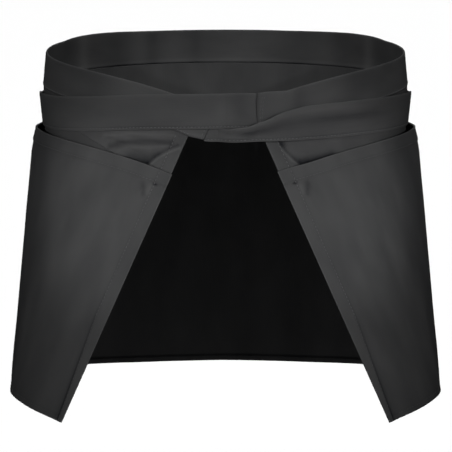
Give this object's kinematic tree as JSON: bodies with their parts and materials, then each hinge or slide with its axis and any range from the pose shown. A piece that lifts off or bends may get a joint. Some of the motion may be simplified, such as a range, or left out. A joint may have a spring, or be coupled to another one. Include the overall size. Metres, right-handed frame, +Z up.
{
  "type": "waist apron",
  "caption": "Short black waist apron in its worn shape, open at the back, with a waistband, crossed ties knotted in front and wide side pockets.",
  "frame": {"origin": "middle of the waist opening, level with the waist seam in front", "axes": "+Z up, +Y the way the wearer faces, +X to the wearer's right as seen from behind"},
  "size_m": [0.4366, 0.302, 0.3568],
  "materials": {
    "apron_panel": "matt black twill",
    "waistband": "matt black twill",
    "tie_left": "matt black twill",
    "tie_right": "matt black twill",
    "front_knot": "matt black twill",
    "pocket_left": "matt black twill",
    "pocket_right": "matt black twill"
  },
  "bodies": {
    "root": {"apron_panel": "apron_panel", "waistband": "waistband", "tie_left": "tie_left", "tie_right": "tie_right", "front_knot": "front_knot", "pocket_left": "pocket_left", "pocket_right": "pocket_right"}
  },
  "joints": []
}
